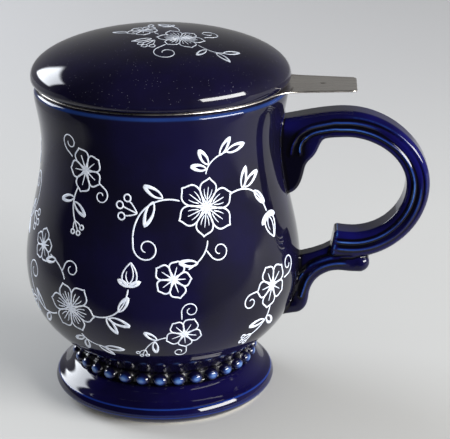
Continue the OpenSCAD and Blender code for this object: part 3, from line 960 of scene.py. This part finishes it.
def make_hoop(material):
    """The band round the basket's bottom edge."""
    low, high, outer, inner = BASKET_Z, BASKET_Z + 3.2, BASKET_R + SHEET, BASKET_R + 0.01
    line = chain((inner, low + 0.1), arc((outer - 0.35, low + 0.35), 0.35, -90, 0, 5),
                 arc((outer - 0.25, high - 0.25), 0.25, 0, 90, 4), (inner, high - 0.02))
    points, faces = revolve(line, 160, closed=True)
    make_piece("basket_bottom_band", "infuser", ["basket_hoop"], material, points, faces)


# ---------------------------------------------------------------- enamel sprays

ENAMEL_RISE, ENAMEL_SINK = 0.11, -0.03  # the enamel's height, and how far its edges go into the glaze
STROKE = 0.5  # width of the enamel lines


def turned(points, angle, centre=(0, 0), size=1.0, flip=False):
    """Points scaled, mirrored if asked, turned by an angle in degrees and moved."""
    p = np.atleast_2d(np.array(points, float)) * size
    if flip:
        p = p * [1, -1]
    a = math.radians(angle)
    return p @ np.array([[math.cos(a), math.sin(a)], [-math.sin(a), math.cos(a)]]) + np.array(centre, float)


def toward(heading):
    a = math.radians(heading)
    return np.array([math.cos(a), math.sin(a)])


class Spray:
    """Enamel lines and filled shapes, drawn flat in millimetres."""

    def __init__(self):
        self.lines, self.shapes = [], []

    def line(self, points, width=STROKE, taper=(1.0, 1.0), closed=False, pitch=0.45):
        points = resample(np.array(points, float), pitch)
        widths = width * spread(taper, np.linspace(0, 1, len(points)))
        keep = -1 if closed else None
        self.lines.append((points[:keep], widths[:keep], closed))

    def stem(self, *curve, width=STROKE, taper=(1.0, 1.0)):
        self.line(bezier(*curve), width, taper)

    def place(self, other, angle, centre, flip=False):
        for points, widths, closed in other.lines:
            self.lines.append((turned(points, angle, centre, flip=flip), widths, closed))
        for outline in other.shapes:
            moved = turned(outline, angle, centre, flip=flip)
            self.shapes.append(moved[::-1] if flip else moved)

    def leaf(self, length, width, angle, stalk, flip=False):
        self.place(leaf(length, width), angle, stalk, flip)

    def tendril(self, start, heading, reach, r, turns, width=STROKE, end=0.75):
        """It sets off along its heading, bends round to the left and winds inwards."""
        ahead = toward(heading)
        left = np.array([-ahead[1], ahead[0]])
        start = np.array(start, float)
        edge = start + ahead * reach
        sweep = np.linspace(0, 2 * math.pi * turns, int(36 * turns) + 1)
        shrink = r * (1 - 0.72 * (sweep / sweep[-1]) ** 0.85)
        wound = -left * np.cos(sweep)[:, None] + ahead * np.sin(sweep)[:, None]
        lead = bezier(start, start + ahead * reach * 0.4, edge - ahead * reach * 0.4, edge, 10)
        self.line(chain(lead, edge + left * r + shrink[:, None] * wound), width, (1.0, end))

    def dots(self, start, heading, lengths=(4.6, 5.2, 4.4), fan=34, r=1.15):
        """Three short stalks that fan out and end in small rings."""
        for k, length in enumerate(lengths):
            ahead = toward(heading + fan * (k - 1))
            end = np.array(start) + ahead * length
            bend = np.array([-ahead[1], ahead[0]]) * 0.35 * (k - 1)
            near, far = start + ahead * length * 0.35 + bend, end - ahead * length * 0.3 + bend
            self.stem(start, near, far, end, 8, width=STROKE * 0.95, taper=(1.0, 0.9))
            ring = Spray()
            ring.line(arc((0, 0), r, 0, 360, 16), STROKE * 1.05, closed=True)
            self.place(ring, 0, end + ahead * r * 0.95)


LEAF_STROKES = (0.5, 0.62, 0.85, 1.15, 1.2, 1.15, 0.85, 0.62, 0.5)  # widths round a leaf's outline


def scaled(length, width, *places):
    """Places given as shares of a length and a width."""
    return [(u * length, v * width) for u, v in places]


def leaf(length, width):
    """An almond leaf along +x, painted round a dark slit: its outline swells towards the point."""
    s = Spray()
    upper = scaled(length, width * 0.78, (0.25, 0.72), (0.72, 0.55), (1, 0))
    lower = scaled(length, width * 0.78, (0.7, -0.55), (0.22, -0.7), (0, 0))
    s.line(curves((0, 0), (*upper, 14), (*lower, 14)), 1.0, LEAF_STROKES, closed=True, pitch=0.4)
    return s


SIDE_VEIN = ((0.22, 0.09), (0.34, 0.20), (0.44, 0.27), (0.58, 0.28))


def petal(length, width, side_veins):
    """A rounded petal that ends in a small point, with a vein and, if asked, a short one on each side."""
    s = Spray()
    near = scaled(length, width, (0.20, 0.10), (0.30, 0.58), (0.62, 0.58))
    far = scaled(length, width, (0.86, 0.58), (0.86, 0.14), (1, 0))
    half = curves((0, 0.15), (*near, 10), (*far, 9))
    s.line(chain(half, (half * [1, -1])[::-1]), STROKE * 1.1)
    s.line(scaled(length, width, (0.04, 0), (0.66, 0)), taper=(1.1, 0.5))
    for side in (1, -1) if side_veins else ():
        s.stem(*scaled(length, width * side, *SIDE_VEIN), 6, taper=(0.9, 0.5))
    return s


def blossom(r, petals, start):
    """An open flower: pointed round petals about a small eye."""
    s = Spray()
    eye = 0.07 * r
    for k in range(petals):
        angle = start + 360 * k / petals
        reach = r * (1.0 + 0.07 * math.cos(2.1 * k + start)) - eye
        width = reach * math.tan(math.pi / petals)
        s.place(petal(reach, width, r > 8), angle, eye * toward(angle))
    s.shapes.append(arc((0, 0), eye * 1.3, 0, 360, 12)[:-1])
    return s


def bud(length):
    """A closed bud along +x: a pointed drop over two small sepals."""
    s = Spray()
    upper = scaled(length, length, (0.10, 0.40), (0.55, 0.44), (1, 0))
    lower = scaled(length, length, (0.55, -0.44), (0.10, -0.40), (0, 0))
    s.line(curves((0, 0), (*upper, 14), (*lower, 14)), STROKE * 1.1)
    crease = scaled(length, length, (0.10, 0), (0.3, 0.22), (0.6, 0.2))
    s.stem(*crease, (0.93 * length, 0.01), 10, taper=(1.0, 0.7))
    crease = scaled(length, length, (0.10, 0), (0.3, -0.16), (0.45, -0.18), (0.62, -0.12))
    s.stem(*crease, 8, taper=(1.0, 0.5))
    for side in (1, -1):
        s.leaf(0.5 * length, 0.2 * length, 62 * side, (-0.02 * length, 0), side < 0)
    return s


def grand_spray():
    """A crescent: an open flower on a long curve, with a bud, tendrils, a smaller flower, leaves and dots."""
    s = Spray()
    s.place(blossom(10.0, 6, 14.0), 0, (0.0, -6.0))
    s.stem((8.6, -9.6), (15, -12.5), (23.5, -9.5), (25.5, 0.0), 26, width=STROKE * 1.1)
    s.tendril((25.5, 0.0), 84, 3.5, 4.4, 1.2, STROKE * 1.1)
    s.leaf(8.2, 3.3, 62, (17.2, -10.4))
    s.leaf(7.0, 3.0, -38, (14.0, -11.3))
    s.dots((23.0, -7.2), -28)
    s.stem((-9.0, -7.8), (-15, -9.5), (-22, -6.5), (-24.0, 2.5), 26, width=STROKE * 1.1)
    s.place(bud(8.4), 98, (-24.2, 3.6))
    s.leaf(7.6, 3.2, 205, (-15.6, -8.4))
    s.leaf(6.8, 2.8, 248, (-14.6, -8.3))
    s.leaf(6.6, 2.8, 128, (-19.6, -5.8), True)
    s.stem((1.6, 4.4), (2.4, 8.0), (5.2, 10.5), (9.4, 12.2), 16)
    s.place(blossom(6.1, 5, 30.0), 0, (14.6, 14.6))
    s.tendril((2.6, 7.4), 118, 3.0, 3.4, 1.15, end=0.7)
    s.leaf(5.8, 2.5, -12, (6.2, 10.9))
    s.stem((-1.4, -16.4), (-2.2, -19.6), (-5.4, -21.8), (-10.0, -22.0), 14)
    s.leaf(7.2, 3.0, 186, (-9.6, -22.0))
    s.leaf(6.4, 2.7, 232, (-7.0, -21.4))
    s.leaf(6.0, 2.6, -62, (-2.6, -19.3))
    s.leaf(5.4, 2.3, -20, (-1.8, -18.0), True)
    return s


def small_spray():
    """A sprig: a five-petalled flower with a tendril on each side, two leaves and a stalk of dots."""
    s = Spray()
    s.place(blossom(7.4, 5, 50.0), 0, (0.0, 3.0))
    s.stem((1.0, -4.0), (1.8, -8.0), (0.6, -12.0), (-3.0, -15.0), 14)
    s.leaf(6.6, 2.8, 196, (0.4, -9.4))
    s.leaf(6.2, 2.7, -34, (1.2, -8.2), True)
    s.tendril((7.0, 4.4), 18, 3.6, 3.6, 1.2)
    s.tendril((-6.8, 1.6), 196, 3.0, 2.9, 1.1)
    s.dots((-2.8, -14.8), 222, (3.0, 3.6, 3.0), 34, 0.8)
    return s


def lid_spray():
    """The lid's spray: two flowers back to back in a loose wreath of leaves and tendrils."""
    s = Spray()
    s.place(blossom(9.4, 6, 8.0), 0, (4.6, 2.0))
    s.place(blossom(6.4, 5, 70.0), 0, (-12.0, 9.0))
    s.stem((-4.4, 4.0), (-6.0, 5.0), (-6.6, 6.0), (-7.0, 7.0), 8)
    s.tendril((0.6, -6.4), 240, 5.0, 5.2, 1.15, STROKE * 1.1)
    s.stem((12.4, -2.6), (17.0, -6.0), (20.0, -6.4), (23.0, -4.0), 14)
    s.leaf(7.2, 3.1, 44, (22.4, -4.4))
    s.leaf(6.8, 2.9, -30, (20.0, -6.0))
    s.leaf(6.4, 2.8, 250, (16.0, -5.3))
    s.leaf(7.4, 3.2, 206, (-6.0, -1.4))
    s.leaf(6.8, 2.9, 160, (-17.4, 6.4))
    s.leaf(6.2, 2.7, 100, (-10.6, 15.0))
    s.dots((-4.4, -2.8), 248, (5.0, 5.6, 4.8), 26)
    s.stem((2.0, 11.0), (1.0, 15.0), (-1.0, 17.0), (-3.0, 18.0), 10)
    s.place(bud(7.0), 150, (-3.0, 18.0))
    s.tendril((12.6, 7.2), 40, 4.0, 4.2, 1.15)
    return s


def on_bowl(angle, height, tilt, size, flip):
    """Lays flat points on the bowl about an angle and a height, at a rise above the glaze."""
    run, heading = run_along(BOWL_SKIN), tangents(BOWL_SKIN)
    middle = np.interp(height, BOWL_SKIN[:, 1], run)

    def lay(points, rise):
        p = turned(points, tilt, size=size)
        if flip:
            p = p * [-1, 1]
        table = np.column_stack([BOWL_SKIN, heading])
        r, z, tr, tz = (np.interp(middle + p[:, 1], run, column) for column in table.T)
        around = math.radians(angle) + p[:, 0] / (0.5 * (r + BELLY_R - 1.5))
        return ring_points(r + rise * tz, around, z - rise * tr)

    return lay, flip


def on_lid(centre, tilt, size):
    """Lays flat points on the lid's top about a centre, at a rise above the glaze."""
    dome = LID_SKIN[ROLL_STEPS:][::-1]
    heading = tangents(dome)

    def lay(points, rise):
        p = turned(points, tilt, centre, size)
        rho = np.hypot(p[:, 0], p[:, 1])
        slope = np.interp(rho, dome[:, 0], heading[:, 1] / np.maximum(heading[:, 0], 1e-6))
        tip = 1 / np.sqrt(1 + slope**2)
        flat = p - p / np.maximum(rho, 1e-9)[:, None] * (rise * slope * tip)[:, None]
        return np.column_stack([flat, np.interp(rho, dome[:, 0], dome[:, 1]) + rise * tip])

    return lay, False


# Sections of a line and of a filled shape: how far out, and how high as a share of the enamel's rise
LINE_SECTION = ((-1.0, None), (-0.86, 0.65), (-0.5, 1.0), (0.5, 1.0), (0.86, 0.65), (1.0, None))
SHAPE_SECTION = ((1.0, None), (0.94, 0.6), (0.82, 1.0), (0.45, 1.05), (0.08, 1.05))


def enamel_mesh(sprays, boldness=1.0):
    """Raised bands for the lines and low cushions for the filled shapes."""
    points, faces = [], []

    def raised(share):
        return ENAMEL_SINK if share is None else ENAMEL_RISE * share

    def add(rows, closed, mirrored):
        count = sum(len(row) for row in points)
        index = count + np.arange(len(rows) * len(rows[0])).reshape(len(rows), -1)
        points.extend(rows)
        for a, b in zip(index, index[1:]):
            quads = strip(a, b)[: None if closed else -1]
            faces.extend((quads[:, ::-1] if mirrored else quads).tolist())
        return index[-1]

    for spray, (lay, mirrored) in sprays:
        for path, widths, closed in spray.lines:
            if closed:
                ahead = unit(np.roll(path, -1, 0) - np.roll(path, 1, 0))
            else:
                ahead = tangents(path)
                cap = np.minimum(np.arange(len(path)), np.arange(len(path))[::-1]) + 0.35
                widths = widths * np.sqrt(np.clip(1 - (1 - np.minimum(cap / 1.6, 1)) ** 2, 0.05, 1))
            reach = left_of(ahead) * (widths[:, None] / 2 * boldness)
            add([lay(path + reach * out, raised(up)) for out, up in LINE_SECTION], closed, mirrored)
        for outline in spray.shapes:
            middle = outline.mean(0)
            rows = [lay(middle + (outline - middle) * out, raised(up)) for out, up in SHAPE_SECTION]
            cap = add(rows, True, mirrored).tolist()
            faces.append(cap[::-1] if mirrored else cap)
    return np.concatenate(points), faces


# Each spray on the bowl: its design, angle, height, tilt, size and whether it is mirrored
BOWL_SPRAYS = (
    ("grand", -64.0, 72.0, 186.0, 1.0, False),
    ("grand", -125.0, 48.4, -6.0, 0.91, True),
    ("small", -122.0, 85.5, 20.0, 0.95, True),
    ("small", -36.0, 45.0, -10.0, 1.0, False),
    ("small", -79.0, 36.5, 70.0, 0.8, True),
    ("grand", 171.0, 71.0, 8.0, 0.94, False),
    ("grand", 116.0, 48.5, -10.0, 0.94, True),
    ("small", 131.0, 85.5, -10.0, 0.8, False),
    ("grand", 55.0, 70.0, 10.0, 0.94, False),
    ("small", 27.0, 42.5, 10.0, 0.9, True),
)
LID_SPRAY_AT, LID_BOLDNESS = ((3.5, -11.0), -8.0, 0.84), 0.68


def make_enamel(material, lid_material):
    designs = {"grand": grand_spray(), "small": small_spray()}
    points, faces = enamel_mesh([(designs[design], on_bowl(*place)) for design, *place in BOWL_SPRAYS])
    make_piece("bowl_enamel_sprays", "mug", [], material, points, faces)
    points, faces = enamel_mesh([(lid_spray(), on_lid(*LID_SPRAY_AT))], LID_BOLDNESS)
    make_piece("lid_enamel_spray", "lid", [], lid_material, points, faces)


# ---------------------------------------------------------------- floor, light and camera, in metres

FLOOR_BACK, FLOOR_NEAR, FLOOR_HALF = 1.9, -0.9, 1.6
AMBIENT, BACKDROP, DARK_ROOM, BEHIND, BESIDE = 0.53, 0.6, 0.014, 0.28, 0.3  # how bright each of them is
LIGHT_AIM, LIGHT_DISTANCE = (0, 0, 0.09), 1.2
CAMERA_PLACE, CAMERA_TILT, CAMERA_TURN = (50.32 * MM, -478.73 * MM, 232.08 * MM), 70.313, 3.491


def make_floor(material):
    corners = ((-1, FLOOR_NEAR), (1, FLOOR_NEAR), (1, FLOOR_BACK), (-1, FLOOR_BACK))
    mesh = bpy.data.meshes.new("floor")
    mesh.from_pydata([(side * FLOOR_HALF, y, 0.0) for side, y in corners], [], [(0, 1, 2, 3)])
    mesh.materials.append(material)
    floor = bpy.data.objects.new("floor", mesh)
    bpy.context.scene.collection.objects.link(floor)


def softbox(name, azimuth, elevation, width, height, power, tint, edge=0.0):
    """A soft light that faces the mug. Azimuth is from +Y towards +X, and edge is the share that fades."""
    a, e = math.radians(azimuth), math.radians(elevation)
    aim = Vector((math.sin(a) * math.cos(e), math.cos(a) * math.cos(e), math.sin(e)))
    lamp = bpy.data.lights.new(name, "AREA")
    lamp.shape = "RECTANGLE"
    lamp.size, lamp.size_y, lamp.energy, lamp.color = width, height, power, tint
    if edge > 0:
        m = Nodes(lamp)
        across, up, _ = m.split(m.add("ShaderNodeNewGeometry", {}).outputs["Parametric"])
        fades = [m.ramp(place, *ends) for place in (across, up) for ends in ((0.0, edge), (1.0, 1.0 - edge))]
        m.fill(m.tree.nodes["Emission"], {"Strength": m.product(*fades)})
    light = bpy.data.objects.new(name, lamp)
    light.location = Vector(LIGHT_AIM) + aim * LIGHT_DISTANCE
    light.rotation_euler = aim.to_track_quat("Z", "Y").to_euler()
    bpy.context.scene.collection.objects.link(light)


def make_world():
    """A pale room behind the mug and at its right and a dark one in front, as its glaze mirrors them.

    Diffuse surfaces get an even fill light, and the camera sees a pale backdrop.
    """
    world = bpy.data.worlds.new("studio")
    bpy.context.scene.world = world
    m = Nodes(world)
    x, y, z = m.split(m.place("Generated"))
    behind = m.product(m.ramp(y, -0.1, 0.5, 0.0, BEHIND), m.ramp(z, 0.1, 1.0, 1.0, 0.06))
    beside = m.product(m.ramp(x, 0.4, 0.8, 0.0, BESIDE), m.ramp(z, 0.1, 0.9, 1.0, 0.0))
    room = m.math("MAXIMUM", m.math("MAXIMUM", behind, beside), DARK_ROOM)
    ray = m.add("ShaderNodeLightPath", {}).outputs
    seen = m.choose(ray["Is Camera Ray"], m.choose(ray["Is Diffuse Ray"], room, AMBIENT), BACKDROP)
    m.fill(m.tree.nodes["Background"], {"Color": (1.0, 1.0, 1.0), "Strength": seen})


def make_camera():
    lens = bpy.data.cameras.new("camera")
    lens.lens, lens.sensor_width = 120.0, 36.0
    lens.clip_start, lens.clip_end = 0.05, 20.0
    camera = bpy.data.objects.new("camera", lens)
    camera.location = CAMERA_PLACE
    camera.rotation_euler = (math.radians(CAMERA_TILT), 0.0, math.radians(CAMERA_TURN))
    bpy.context.scene.collection.objects.link(camera)
    bpy.context.scene.camera = camera


make_bowl(glaze_material("mug_glaze"))
make_foot(glaze_material("foot_glaze", FOOT_DEEP, FOOT_RICH, FOOT_BRIGHT, FOOT_PALE_AND_HIGHLIGHT, bare_below=0.9))
make_beads(glaze_material("bead_glaze", FOOT_DEEP, FOOT_DEEP, BEAD_BRIGHT, BEAD_PALE_AND_HIGHLIGHT,
                          ior=1.58, pool_rough=0.3))
make_handle(glaze_material("handle_glaze", HANDLE_DEEP, HANDLE_RICH))
make_lid(glaze_material("lid_glaze", LID_DEEP, LID_RICH, dust=0.22))
make_skirt(glaze_material("skirt_glaze"))
make_rim(steel_material("rim_steel", (60.0, 2600.0, 2600.0), 1.32))
make_basket_wall(steel_material("wall_steel", (500.0, 500.0, 4000.0), 1.15))
make_basket_base(steel_material("base_steel", (900.0, 900.0, 900.0), 1.15))
make_hoop(steel_material("hoop_steel", (400.0, 400.0, 5000.0), 1.25))
make_enamel(enamel_material("white_enamel"), enamel_material("lid_enamel", 0.62))

make_floor(floor_material())
make_world()
# Each light's azimuth, elevation, width, height, power, tint and fading edge
softbox("left_softbox", -58, 23, 0.82, 0.64, 21.0, (0.90, 0.94, 1.0), 0.15)
softbox("right_softbox", 119, 15, 0.9, 0.36, 31.0, (1.0, 0.99, 0.97))
make_camera()
bpy.context.scene.view_settings.view_transform = "Standard"
